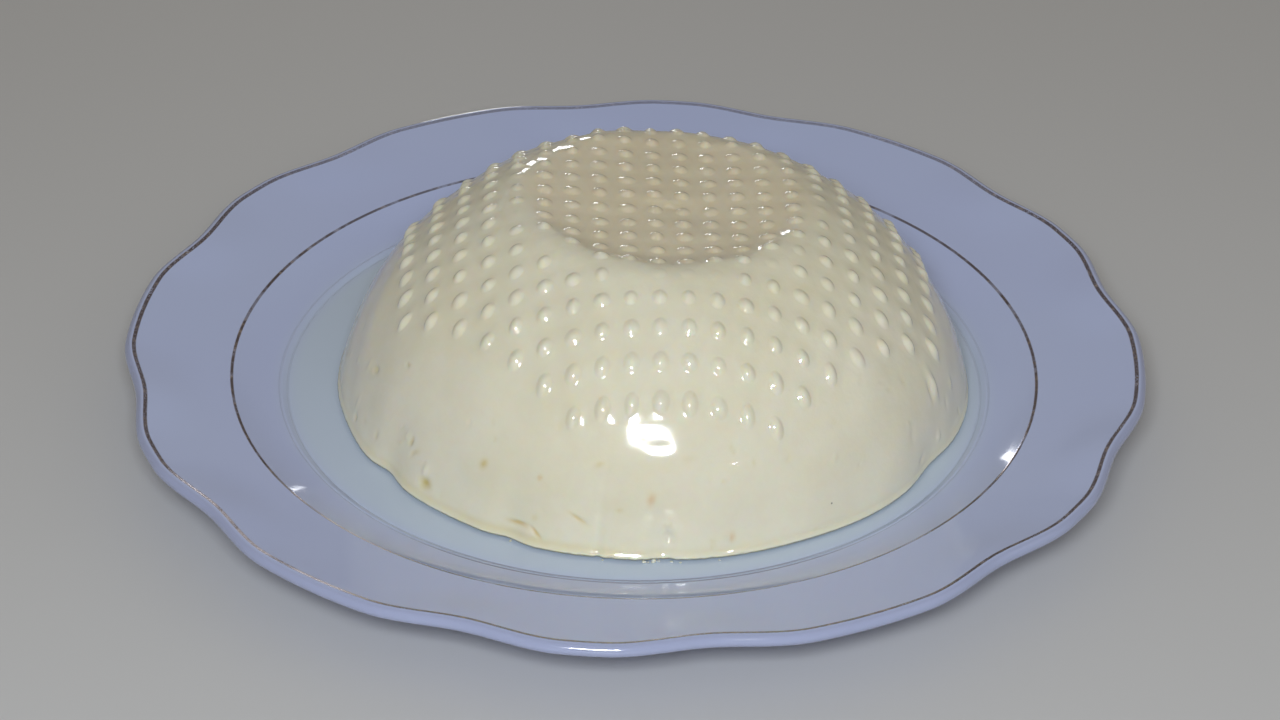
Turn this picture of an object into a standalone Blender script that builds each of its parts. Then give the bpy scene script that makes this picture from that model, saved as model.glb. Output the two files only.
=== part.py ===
"""A dome of fresh pressed cheese, turned out of its draining bowl onto a scalloped porcelain plate.

The origin is the plate's centre at table level, +Z up, in metres. The plate is a turned profile whose
rim is drawn in at twelve notches. The cheese is a turned dome with a dished top, leaning a little to
+X, and carries the square grid of small rounded nubs that the bowl's drain holes leave on it.
"""

import math
import random

import bmesh
import bpy
from mathutils import Matrix, Vector

MM = 0.001
SHARP_DEG = 35.0

# The plate, in millimetres
PLATE_CREST_R = 135.7
NOTCH_DEPTH = 3.0
NOTCH_GROUPS = 6
NOTCH_ANGLES_DEG = (12.6, 38.1)
NOTCH_HALF_WIDTH_DEG = 10.7
SCALLOP_START_R = 112.0
SCALLOP_FULL_R = 131.0
FLOOR_TOP_Z = 8.0
FLOOR_R = 91.8
STEP_R = 93.6
STEP_Z = 9.1
RING_R = 106.9
RING_Z = 13.4
CAVETTO_SAG = 0.3
RIM_SAG = 0.2
RIM_SAG_OUT = 13.0
LIP_RADIUS = 1.9
LIP_Z = 18.3
LIP_SEGMENTS = 5
RIM_THICKNESS = 3.8
UNDER_BELLY_OUT = 2.0
UNDER_STEP_EXTRA = 0.6
FOOT_OUTER_R = 82.5
FOOT_INNER_R = 79.0
FOOT_FLARE = 2.0
UNDERSIDE_Z = 3.4
UNDERSIDE_EDGE_Z = 2.8
PLATE_STEPS = 72

# The cheese, in millimetres
GAP = 0.3
CHEESE_X = 4.9
CHEESE_Y = -0.7
LEAN_X = 2.2
TILT_X = -0.034
TILT_Y = -0.039
FOOT_R = 83.9
FOOT_SLOPE_DEG = 78.0
WALL_ARC_R = 74.7
SHOULDER_SLOPE_DEG = 25.0
SHOULDER_ARC_R = 16.0
DISC_STEP = 0.7
DISC_STEP_WIDTH = 2.8
DISC_DISH = 0.95
FLASH_REACH = 0.7
FLASH_HEIGHT = 1.6
FLASH_UNDERCUT = 0.2
FOOT_WAVES = ((3, 0.25, 0.4), (7, 0.2, 1.9), (11, 0.2, 4.1))
FOOT_NICKS = ((216.0, 1.8, 4.0), (245.0, 2.2, 4.0), (272.0, 1.2, 2.5), (330.0, 1.3, 6.0))
FOOT_FADE_HEIGHT = 9.0
WALL_SEGMENTS = 8
DISC_SEGMENTS = 3
SHOULDER_SEGMENTS = 3
CHEESE_STEPS = 60

# The nubs, in millimetres unless a name says otherwise
NUB_PITCH = 7.11
NUB_COUNT = 20
NUB_CORNER_CUT = 13.0
NUB_GRID_X = 8.1
NUB_GRID_Y = -0.3
NUB_GRID_TURN_DEG = 2.2
NUB_R = 2.05
NUB_R_SPREAD = (0.88, 1.08)
NUB_HEIGHT = 1.25
NUB_HEIGHT_SPREAD = (0.8, 1.12)
NUB_SINK = 0.15
NUB_SIDES = 6
NUB_SEGMENTS = 4
SLOPE_STEP = 1.5
FAINT_R = 39.8
FAINT_WIDTH = 1.9
FAINTEST_KEPT = 0.45
FAINT_LEFT = 0.2
SEED = 7


def smooth(x):
    """Smooth step of x from 0 to 1."""
    x = min(max(x, 0.0), 1.0)
    return x * x * (3.0 - 2.0 * x)


def material(name, colour, roughness):
    """A plain Principled material."""
    made = bpy.data.materials.new(name)
    made.use_nodes = True
    shader = made.node_tree.nodes["Principled BSDF"]
    shader.inputs["Base Color"].default_value = (*colour, 1.0)
    shader.inputs["Roughness"].default_value = roughness
    shader.inputs["Metallic"].default_value = 0.0
    return made


def turned(profile, steps):
    """A closed mesh: the profile (radius, height), axis to axis, spun once round +Z."""
    mesh = bmesh.new()
    points = [mesh.verts.new((r * MM, 0.0, z * MM)) for r, z in profile]
    edges = [mesh.edges.new(pair) for pair in zip(points, points[1:])]
    bmesh.ops.spin(
        mesh,
        geom=points + edges,
        cent=(0.0, 0.0, 0.0),
        axis=(0.0, 0.0, 1.0),
        angle=2.0 * math.pi,
        steps=steps,
    )
    bmesh.ops.remove_doubles(mesh, verts=mesh.verts, dist=1e-6)
    bmesh.ops.recalc_face_normals(mesh, faces=mesh.faces)
    return mesh


def finish(mesh, name, dressed):
    """Turns the bmesh into a named object with a material."""
    data = bpy.data.meshes.new(name)
    mesh.to_mesh(data)
    mesh.free()
    data.materials.append(dressed)
    data.shade_smooth()
    data.set_sharp_from_angle(angle=math.radians(SHARP_DEG))
    made = bpy.data.objects.new(name, data)
    bpy.context.scene.collection.objects.link(made)
    return made


def plate_profile():
    """The plate's section at a crest: floor, step, cavetto, rim, rolled lip, underside and foot ring."""
    lip_r = PLATE_CREST_R - LIP_RADIUS
    slope = math.atan2(LIP_Z + LIP_RADIUS - RING_Z, lip_r - RING_R)
    section = [(0.0, FLOOR_TOP_Z), (FLOOR_R, FLOOR_TOP_Z), (STEP_R, STEP_Z)]
    section.append(((STEP_R + RING_R) / 2, (STEP_Z + RING_Z) / 2 - CAVETTO_SAG))
    sag_z = RING_Z + RIM_SAG_OUT * math.tan(slope) - RIM_SAG
    section += [(RING_R, RING_Z), (RING_R + RIM_SAG_OUT, sag_z)]
    for k in range(LIP_SEGMENTS + 1):
        turn = slope - math.pi * k / LIP_SEGMENTS
        r = lip_r - LIP_RADIUS * math.sin(turn)
        section.append((r, LIP_Z + LIP_RADIUS * math.cos(turn)))
    under_ring = RING_Z - RIM_THICKNESS
    under_step = STEP_Z - RIM_THICKNESS - UNDER_STEP_EXTRA
    section += [(RING_R + UNDER_BELLY_OUT, under_ring), (STEP_R, under_step)]
    section += [(FOOT_OUTER_R + FOOT_FLARE, UNDERSIDE_Z), (FOOT_OUTER_R, 0.0)]
    section += [(FOOT_INNER_R, 0.0), (FOOT_INNER_R - FOOT_FLARE, UNDERSIDE_EDGE_Z)]
    section.append((0.0, UNDERSIDE_Z))
    return section


def notch_pull(angle_deg):
    """How far the rim is drawn in at an angle: the full depth at a notch, none on a scallop's crest."""
    group = 360.0 / NOTCH_GROUPS
    nearest = min(
        abs((angle_deg - notch + group / 2) % group - group / 2) for notch in NOTCH_ANGLES_DEG
    )
    return NOTCH_DEPTH * (1.0 - smooth(nearest / NOTCH_HALF_WIDTH_DEG))


def build_plate():
    """The plate: its section spun, then the rim drawn in at the notches."""
    mesh = turned(plate_profile(), PLATE_STEPS)
    for vert in mesh.verts:
        r = math.hypot(vert.co.x, vert.co.y) / MM
        share = smooth((r - SCALLOP_START_R) / (SCALLOP_FULL_R - SCALLOP_START_R))
        if share > 0.0:
            angle = math.degrees(math.atan2(vert.co.y, vert.co.x))
            scale = (r - share * notch_pull(angle)) / r
            vert.co.x *= scale
            vert.co.y *= scale
    return finish(mesh, "plate", material("porcelain", (0.62, 0.64, 0.72), 0.12))


def dome_profile():
    """The dome's section over its foot, from the middle of the top to the foot, and its height."""
    foot = math.radians(FOOT_SLOPE_DEG)
    shoulder = math.radians(SHOULDER_SLOPE_DEG)
    wall_r = FOOT_R - WALL_ARC_R * math.sin(foot)
    wall_z = -WALL_ARC_R * math.cos(foot)
    inner = WALL_ARC_R - SHOULDER_ARC_R
    crest_r = wall_r + inner * math.sin(shoulder)
    crest_z = wall_z + inner * math.cos(shoulder)
    height = crest_z + SHOULDER_ARC_R
    disc_r = crest_r - DISC_STEP_WIDTH
    disc_z = height - DISC_STEP
    shares = [k / DISC_SEGMENTS for k in range(DISC_SEGMENTS + 1)]
    section = [(disc_r * share, disc_z - DISC_DISH * (1.0 - share**2)) for share in shares]
    for k in range(SHOULDER_SEGMENTS):
        turn = shoulder * k / SHOULDER_SEGMENTS
        r = crest_r + SHOULDER_ARC_R * math.sin(turn)
        section.append((r, crest_z + SHOULDER_ARC_R * math.cos(turn)))
    for k in range(WALL_SEGMENTS + 1):
        turn = shoulder + (foot - shoulder) * k / WALL_SEGMENTS
        r = wall_r + WALL_ARC_R * math.sin(turn)
        section.append((r, wall_z + WALL_ARC_R * math.cos(turn)))
    return section, height


def lean(point, height):
    """Places a point of the upright dome (millimetres over its foot) on the leaning, tilted one."""
    share = point.z / height
    tilted = point.z + share * (TILT_X * point.x + TILT_Y * point.y)
    foot_z = FLOOR_TOP_Z + GAP
    x = CHEESE_X + LEAN_X * share + point.x
    return Vector((x, CHEESE_Y + point.y, foot_z + tilted)) * MM


def height_at(section, r):
    """The dome's height at radius r, read along its section."""
    for (r0, z0), (r1, z1) in zip(section, section[1:]):
        if r0 <= r <= r1:
            return z0 + (z1 - z0) * (r - r0) / (r1 - r0)
    return 0.0


def foot_reach(angle):
    """The foot's uneven reach at an angle, in millimetres: long low waves less the nicks."""
    waves = sum(size * math.sin(count * angle + start) for count, size, start in FOOT_WAVES)
    turn = math.degrees(angle) % 360.0
    nicks = sum(deep * math.exp(-(((turn - at) / wide) ** 2)) for at, deep, wide in FOOT_NICKS)
    return waves - nicks


def nub_places(section, height):
    """Yields (place, outward normal, strength) of every nub on the upright dome."""
    turn = math.radians(NUB_GRID_TURN_DEG)
    middle = (NUB_COUNT - 1) / 2
    for row in range(NUB_COUNT):
        for column in range(NUB_COUNT):
            u, v = column - middle, row - middle
            if abs(u) + abs(v) > NUB_CORNER_CUT:
                continue
            x = NUB_GRID_X + NUB_PITCH * (u * math.cos(turn) - v * math.sin(turn))
            y = NUB_GRID_Y + NUB_PITCH * (u * math.sin(turn) + v * math.cos(turn))
            x -= CHEESE_X
            y -= CHEESE_Y
            r = math.hypot(x, y)
            x -= LEAN_X * height_at(section, r) / height
            r = math.hypot(x, y)
            inner, outer = r - SLOPE_STEP, r + SLOPE_STEP
            slope = (height_at(section, inner) - height_at(section, outer)) / (2 * SLOPE_STEP)
            outward = Vector((slope * x / r, slope * y / r, 1.0)).normalized()
            strength = 1.0 - math.exp(-(((r - FAINT_R) / FAINT_WIDTH) ** 2))
            yield Vector((x, y, height_at(section, r))), outward, strength


def build_nubs(section, height, draw):
    """A collection of low rounded nubs, each a flattened sphere half sunk in the dome."""
    nubs = bpy.data.collections.new("nubs")
    bpy.context.scene.collection.children.link(nubs)
    for place, outward, strength in nub_places(section, height):
        size = draw.uniform(*NUB_R_SPREAD)
        rise = NUB_HEIGHT * draw.uniform(*NUB_HEIGHT_SPREAD) * min(1.0, strength + FAINT_LEFT)
        if strength < FAINTEST_KEPT:
            continue
        mesh = bmesh.new()
        bmesh.ops.create_uvsphere(
            mesh, u_segments=NUB_SIDES, v_segments=NUB_SEGMENTS, radius=1.0
        )
        stretch = Matrix.Diagonal((NUB_R * size, NUB_R * size, rise + NUB_SINK, 1.0))
        swing = outward.to_track_quat("Z", "Y").to_matrix().to_4x4()
        sunk = Matrix.Translation(place - NUB_SINK * outward)
        bmesh.ops.transform(mesh, matrix=sunk @ swing @ stretch, verts=mesh.verts)
        for vert in mesh.verts:
            vert.co = lean(vert.co, height)
        data = bpy.data.meshes.new("nub")
        mesh.to_mesh(data)
        mesh.free()
        nub = bpy.data.objects.new("nub", data)
        nub.hide_render = True
        nub.display_type = "WIRE"
        nubs.objects.link(nub)
    return nubs


def fuse(body, pieces):
    """Joins a collection of pieces to a body by one Boolean union, then removes them."""
    union = body.modifiers.new("fuse", "BOOLEAN")
    union.operation = "UNION"
    union.operand_type = "COLLECTION"
    union.collection = pieces
    union.solver = "MANIFOLD"
    graph = bpy.context.evaluated_depsgraph_get()
    fused = bpy.data.meshes.new_from_object(body.evaluated_get(graph))
    body.modifiers.clear()
    body.data = fused
    for piece in list(pieces.objects):
        bpy.data.objects.remove(piece, do_unlink=True)
    bpy.data.collections.remove(pieces)
    fused.shade_smooth()
    fused.set_sharp_from_angle(angle=math.radians(SHARP_DEG))


def build_cheese():
    """The cheese: its section spun, its foot drawn out unevenly, leaned, and the nubs fused on."""
    section, height = dome_profile()
    foot_r = section[-1][0]
    lip = [(foot_r + FLASH_REACH, FLASH_HEIGHT / 2), (foot_r + FLASH_REACH, 0.0), (0.0, 0.0)]
    undercut = [(foot_r - FLASH_UNDERCUT, FLASH_HEIGHT)]
    mesh = turned(section[:-1] + undercut + lip, CHEESE_STEPS)
    for vert in mesh.verts:
        upright = vert.co / MM
        r = math.hypot(upright.x, upright.y)
        if r > FOOT_R / 2:
            share = math.exp(-upright.z / FOOT_FADE_HEIGHT)
            scale = 1.0 + share * foot_reach(math.atan2(upright.y, upright.x)) / r
            upright.x *= scale
            upright.y *= scale
        vert.co = lean(upright, height)
    cheese = finish(mesh, "cheese", material("fresh_cheese", (0.80, 0.77, 0.60), 0.25))
    fuse(cheese, build_nubs(section, height, random.Random(SEED)))
    return cheese


for old in list(bpy.data.objects):
    bpy.data.objects.remove(old, do_unlink=True)
build_plate()
build_cheese()
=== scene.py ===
"""The looks of a dome of fresh pressed cheese, turned out of its draining bowl onto a scalloped plate.

Sizes are in millimetres and angles in degrees, in the row frame: +Z up, the origin at the plate's centre
on the table. Meshes are worked out as whole arrays and put into Blender in metres. Two pieces stand for
the two CAD nodes, and the crumbs at the cheese's foot are a third.
"""

import logging
import math
from dataclasses import dataclass, field
from enum import Enum

import bpy
import numpy as np
from mathutils import Euler, Matrix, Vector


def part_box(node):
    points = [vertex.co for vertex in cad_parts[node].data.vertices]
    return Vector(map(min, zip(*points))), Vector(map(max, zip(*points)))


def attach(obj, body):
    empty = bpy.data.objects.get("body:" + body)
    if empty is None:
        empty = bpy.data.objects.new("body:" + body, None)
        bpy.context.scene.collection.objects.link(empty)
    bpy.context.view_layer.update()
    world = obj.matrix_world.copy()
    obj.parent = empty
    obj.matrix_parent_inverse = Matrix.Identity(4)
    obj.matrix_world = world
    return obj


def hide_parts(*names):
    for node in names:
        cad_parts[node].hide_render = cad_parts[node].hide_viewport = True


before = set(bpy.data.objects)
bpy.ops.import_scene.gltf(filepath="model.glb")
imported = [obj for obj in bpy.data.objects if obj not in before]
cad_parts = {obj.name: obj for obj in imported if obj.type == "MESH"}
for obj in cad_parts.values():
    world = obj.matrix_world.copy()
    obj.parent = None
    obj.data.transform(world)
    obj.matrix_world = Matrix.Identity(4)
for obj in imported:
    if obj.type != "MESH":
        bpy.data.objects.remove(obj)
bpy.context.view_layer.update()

MM = 0.001
log = logging.getLogger("cheese_on_a_plate")

Array = np.ndarray
Colour = tuple[float, float, float]
Fade = tuple[float, float, float]
TINY = 1e-9
FLAW_DEPTH = 4.0


class Slot(Enum):
    """The record's material slots."""

    CHEESE = "fresh_cheese"
    PORCELAIN = "porcelain"


def smooth(x: Array) -> Array:
    """Smooth step: 3x^2 - 2x^3 on x clipped to 0..1."""
    x = np.clip(x, 0.0, 1.0)
    return x * x * (3.0 - 2.0 * x)


def bell(x: Array, middle: float, width: float) -> Array:
    """Bell curve exp(-((x - middle) / width)^2)."""
    return np.exp(-(((x - middle) / width) ** 2))


def round_axis(r: Array, angle: Array, z: Array) -> Array:
    """Points at a radius and height, carried round the upright axis to an angle in radians."""
    return np.stack([r * np.cos(angle), r * np.sin(angle), z + np.zeros_like(r * angle)], -1)


def hoops(ids: Array) -> Array:
    """Quads between rows of vertices that run round a shape, each row the next one down."""
    after = np.roll(ids, -1, axis=1)
    return np.stack([ids[:-1], ids[1:], after[1:], after[:-1]], -1).reshape(-1, 4)


def lids(ids: Array, top: int | None, bottom: int) -> list[Array]:
    """Fans of triangles that close such rows at their ends.

    Args:
        ids: The rows' vertices.
        top: The vertex in the middle of the first row's fan, or None to leave that end open.
        bottom: The vertex in the middle of the last row's fan.

    Returns:
        The fans.
    """
    after = np.roll(ids, -1, axis=1)
    under = np.stack([np.full(ids.shape[1], bottom), after[-1], ids[-1]], -1)
    return [under] if top is None else [np.stack([np.full(ids.shape[1], top), ids[0], after[0]], -1), under]


def mesh_piece(
    name: str,
    points: Array,
    faces: list[Array],
    values: dict[str, Array],
    finish: bpy.types.Material,
) -> bpy.types.Object:
    """Makes a smooth-shaded mesh object from whole arrays.

    Args:
        name: The piece's name.
        points: Vertices in millimetres, shape (n, 3).
        faces: Arrays of triangles or quads, shape (m, 3) or (m, 4), turned outwards.
        values: Named numbers of each vertex, which the finish reads.
        finish: The material.

    Returns:
        The object, at the origin, unturned and unscaled.
    """
    used, index = np.unique(np.concatenate([f.ravel() for f in faces]), return_inverse=True)
    ends = np.cumsum([f.size for f in faces])[:-1]
    rows = [part.reshape(f.shape) for part, f in zip(np.split(index.ravel(), ends), faces)]
    data = bpy.data.meshes.new(name)
    data.vertices.add(len(used))
    data.vertices.foreach_set("co", (points[used] * MM).astype(np.float32).ravel())
    data.loops.add(sum(row.size for row in rows))
    data.loops.foreach_set("vertex_index", np.concatenate([row.ravel() for row in rows]).astype(np.int32))
    counts = np.concatenate([np.full(len(row), row.shape[1]) for row in rows])
    data.polygons.add(len(counts))
    data.polygons.foreach_set("loop_start", (np.cumsum(counts) - counts).astype(np.int32))
    data.update(calc_edges=True)
    data.validate()
    for label, numbers in values.items():
        layer = data.attributes.new(label, "FLOAT", "POINT")
        layer.data.foreach_set("value", numbers[used].astype(np.float32))
    data.shade_smooth()
    data.materials.append(finish)
    piece = bpy.data.objects.new(name, data)
    bpy.context.scene.collection.objects.link(piece)
    triangles = int((counts - 2).sum())
    log.info("%s: %d vertices, %d triangles", name, len(used), triangles)
    return piece


class Wire:
    """A socket of a node tree, so that maths on its value reads as Python."""

    def __init__(self, nodes: "Nodes", socket: bpy.types.NodeSocket) -> None:
        """Keeps the builder of the tree and the socket."""
        self.nodes = nodes
        self.socket = socket

    def _math(self, operation: str, *operands: object) -> "Wire":
        """Adds one Math node.

        Args:
            operation: Blender's name for the operation.
            operands: The numbers or wires that it takes.

        Returns:
            The node's result.
        """
        return self.nodes.node("ShaderNodeMath", {"operation": operation}, dict(enumerate(operands)))

    def __add__(self, other: object) -> "Wire":
        """The sum."""
        return self._math("ADD", self, other)

    def __sub__(self, other: object) -> "Wire":
        """The difference."""
        return self._math("SUBTRACT", self, other)

    def __mul__(self, other: object) -> "Wire":
        """The product."""
        return self._math("MULTIPLY", self, other)

    def __rsub__(self, other: object) -> "Wire":
        """The difference, with the plain number first."""
        return self._math("SUBTRACT", other, self)

    __radd__ = __add__
    __rmul__ = __mul__

    def __abs__(self) -> "Wire":
        """The size without its sign."""
        return self._math("ABSOLUTE", self)

    def most(self, other: object) -> "Wire":
        """The larger of the two."""
        return self._math("MAXIMUM", self, other)

    def ramp(self, low: float, high: float) -> "Wire":
        """A smooth step from 0 at low to 1 at high; low may be the larger."""
        sockets = {"Value": self, "From Min": low, "From Max": high}
        return self.nodes.node("ShaderNodeMapRange", {"interpolation_type": "SMOOTHSTEP"}, sockets)

    def fade(self, stops: Fade) -> "Wire":
        """A smooth step from 0 at the first stop to the third number at the second."""
        return self.ramp(*stops[:2]) * stops[2]


@dataclass(frozen=True)
class Clouds:
    """A cloudy pattern: its size in millimetres, its finer layers, their strength, and its two stops."""

    size: float
    layers: float = 2.0
    strength: float = 0.5
    low: float = 0.0
    high: float = 1.0


class Nodes:
    """Builds the node tree of one material."""

    def __init__(self, name: str) -> None:
        """Makes an empty material.

        Args:
            name: The material's name.
        """
        self.material = bpy.data.materials.new(name)
        self.material.use_nodes = True
        self.tree = self.material.node_tree
        self.tree.nodes.clear()

    def node(
        self,
        kind: str,
        settings: dict[str, object] | None = None,
        sockets: dict[str | int, object] | None = None,
        out: str | int = 0,
    ) -> Wire:
        """Adds a node.

        Args:
            kind: The node's type.
            settings: Its own settings, set first.
            sockets: The number, colour or wire of each input, by name or place.
            out: The output that is wanted.

        Returns:
            That output.
        """
        made = self.tree.nodes.new(kind)
        for key, value in (settings or {}).items():
            setattr(made, key, value)
        for key, value in (sockets or {}).items():
            socket = made.inputs[key]
            if isinstance(value, Wire):
                self.tree.links.new(value.socket, socket)
            elif isinstance(value, tuple) and socket.type == "RGBA":
                socket.default_value = (*value, 1.0)
            else:
                socket.default_value = value
        return Wire(self, made.outputs[out])

    def place(self) -> Wire:
        """The point in Object coordinates, in metres."""
        return self.node("ShaderNodeTexCoord", out="Object")

    def attribute(self, name: str) -> Wire:
        """A number of the mesh's own."""
        return self.node("ShaderNodeAttribute", {"attribute_name": name}, out="Fac")

    def noise(self, clouds: Clouds) -> Wire:
        """The noise of a cloudy pattern, without its stops.

        Args:
            clouds: The pattern.

        Returns:
            The noise, from 0 to 1 round 0.5.
        """
        scale = 1.0 / (clouds.size * MM)
        sockets = {"Scale": scale, "Detail": clouds.layers, "Roughness": clouds.strength}
        return self.node("ShaderNodeTexNoise", None, {"Vector": self.place(), **sockets})

    def mottle(self, clouds: Clouds) -> Wire:
        """The pattern as a mask: 0 below its low stop, 1 above its high stop."""
        return self.noise(clouds).ramp(clouds.low, clouds.high)

    def mix(self, first: object, second: object, share: object, blend: str = "MIX") -> Wire:
        """Mixes two colours; share 0 gives the first and 1 the second, or their blend."""
        settings = {"data_type": "RGBA", "blend_type": blend}
        return self.node("ShaderNodeMix", settings, {0: share, 6: first, 7: second}, out=2)

    def near(self, point: tuple[float, float, float], reach: float) -> Wire:
        """A round mask.

        Args:
            point: Its middle in millimetres.
            reach: How far it reaches, in millimetres.

        Returns:
            1 out to half the reach, falling to 0 at the reach.
        """
        away = {"operation": "DISTANCE"}
        target = tuple(c * MM for c in point)
        distance = self.node("ShaderNodeVectorMath", away, {0: self.place(), 1: target}, out="Value")
        return distance.ramp(reach * MM, reach * MM / 2)

    def bump(self, height: Wire, distance: float, strength: float, under: Wire | None = None) -> Wire:
        """A Bump node.

        Args:
            height: The relief, from 0 to 1.
            distance: Its depth in millimetres.
            strength: The node's strength.
            under: The normal of the bump below it.

        Returns:
            The bumped normal.
        """
        sockets = {"Height": height, "Distance": distance * MM, "Strength": strength}
        if under is not None:
            sockets["Normal"] = under
        return self.node("ShaderNodeBump", None, sockets)

    def done(self, sockets: dict[str | int, object]) -> bpy.types.Material:
        """Adds the Principled shader and the output.

        Args:
            sockets: The shader's inputs.

        Returns:
            The finished material.
        """
        shader = self.node("ShaderNodeBsdfPrincipled", None, sockets)
        output = self.tree.nodes.new("ShaderNodeOutputMaterial")
        self.tree.links.new(shader.socket, output.inputs["Surface"])
        return self.material


@dataclass(frozen=True)
class CheeseFinish:
    """Moist pressed cheese: pale cream, cloudy, a little translucent, with whey stains and a wet sheen."""

    cream: Colour = (0.78, 0.735, 0.55)
    pale: Colour = (0.84, 0.81, 0.66)
    crown: Colour = (0.96, 0.90, 0.84)
    whey: Colour = (0.66, 0.54, 0.20)
    rust: Colour = (0.74, 0.50, 0.24)
    speck: Colour = (0.05, 0.04, 0.03)
    shade: Colour = (0.13, 0.14, 0.11)
    clouds: Clouds = Clouds(38.0, 3.0, 0.55, 0.3, 0.7)
    cloud_share: float = 0.55
    grain: Clouds = Clouds(5.5, 3.0, 0.6, 0.25, 0.75)
    grain_share: float = 0.3
    nub_share: float = 0.35
    shade_share: float = 0.75
    stain_least: float = 0.7
    stain_grain: float = 0.5
    speck_reach: float = 0.45
    skin: Clouds = Clouds(4.2, 3.0, 0.55)
    skin_depth: float = 0.22
    fine: Clouds = Clouds(0.9, 2.0, 0.6)
    fine_depth: float = 0.05
    relief: float = 0.35
    roughness: float = 0.5
    specular: float = 0.08
    wetness: float = 0.9
    wet_roughness: float = 0.08
    dryness: float = 0.5
    scatter: float = 0.6
    scatter_colour: Colour = (1.0, 0.72, 0.42)
    scatter_depth: float = 2.6

    def material(self, speck_at: tuple[float, float, float]) -> bpy.types.Material:
        """Builds the material.

        Args:
            speck_at: Where the one dark speck is.

        Returns:
            The material.
        """
        made = Nodes("fresh_cheese")
        grain = made.mottle(self.grain)
        mottled = made.mottle(self.clouds) * self.cloud_share + grain * self.grain_share
        base = made.mix(self.cream, self.pale, mottled + made.attribute("nub") * self.nub_share)
        base = made.mix(base, self.crown, made.attribute("crown"), "MULTIPLY")
        stain = made.attribute("whey") * (self.stain_least + grain * self.stain_grain)
        base = made.mix(base, self.whey, stain)
        base = made.mix(base, self.rust, made.attribute("rust"))
        base = made.mix(base, self.speck, made.near(speck_at, self.speck_reach))
        base = made.mix(base, self.shade, made.attribute("shade") * self.shade_share)
        skin = made.bump(made.noise(self.skin), self.skin_depth, self.relief)
        return made.done({
            "Base Color": base,
            "Roughness": self.roughness,
            "Specular IOR Level": self.specular,
            "Subsurface Weight": self.scatter,
            "Subsurface Radius": self.scatter_colour,
            "Subsurface Scale": self.scatter_depth * MM,
            "Coat Weight": self.wetness - made.attribute("dull") * self.dryness,
            "Coat Roughness": self.wet_roughness,
            "Normal": made.bump(made.noise(self.fine), self.fine_depth, self.relief, skin),
        })


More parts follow.
